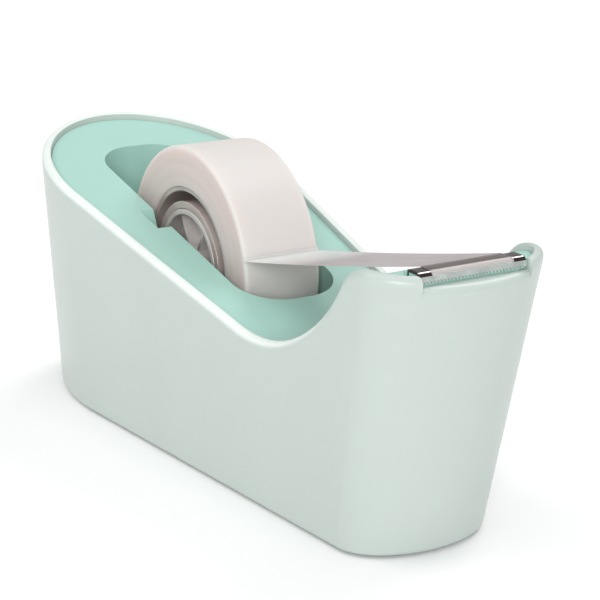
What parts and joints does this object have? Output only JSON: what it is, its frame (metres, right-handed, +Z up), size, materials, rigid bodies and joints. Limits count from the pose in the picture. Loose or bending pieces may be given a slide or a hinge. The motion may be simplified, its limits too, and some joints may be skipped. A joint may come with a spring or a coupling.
{
  "type": "tape dispenser",
  "caption": "Weighted desk tape dispenser: drafted pale mint casing with a sloping rim, inner tray with a roll well, toothed steel cutter and a lift-out roll on an axle.",
  "frame": {"origin": "on the table, under the middle of the casing's length and width", "axes": "+X along the casing towards the cutter, +Y across the roll, +Z up"},
  "size_m": [0.159, 0.0588, 0.0667],
  "materials": {
    "casing_mint": "satin",
    "tray_mint": "satin",
    "blade_steel": "polished",
    "base_grey": "matte",
    "pad_rubber": "matte",
    "adhesive_film": "matte",
    "ballast_iron": "rough",
    "screw_steel": "zinc plated",
    "axle_steel": "ground",
    "washer_nylon": "satin",
    "hub_smoke": "clear smoke",
    "core_plastic": "translucent",
    "tape_roll": "matte film edges",
    "tape_film": "matte translucent film"
  },
  "bodies": {
    "housing": {"outer_shell": "casing_mint", "inner_tray": "tray_mint", "cutter_blade": "blade_steel", "base_plate": "base_grey", "non_slip_pad": "pad_rubber", "pad_adhesive": "adhesive_film", "front_ballast": "ballast_iron", "back_ballast": "ballast_iron", "ballast_plate": "ballast_iron", "base_screws": "screw_steel", "ballast_bolts": "screw_steel"},
    "axle": {"axle_pin": "axle_steel", "axle_washers": "washer_nylon", "tape_strip": "tape_film"},
    "roll": {"hub_left": "hub_smoke", "hub_right": "hub_smoke", "tape_core": "core_plastic", "tape_winding": "tape_roll"}
  },
  "joints": [
    {"name": "roll_lift", "type": "slide", "parent": "housing", "child": "axle", "axis": [-0.4384, 0, 0.8988], "range_m": [0, 0.065]},
    {"name": "roll_spin", "type": "hinge", "parent": "axle", "child": "roll", "pos_m": [-0.01805, 0, 0.0395], "axis": [0, 1, 0], "continuous": true}
  ]
}
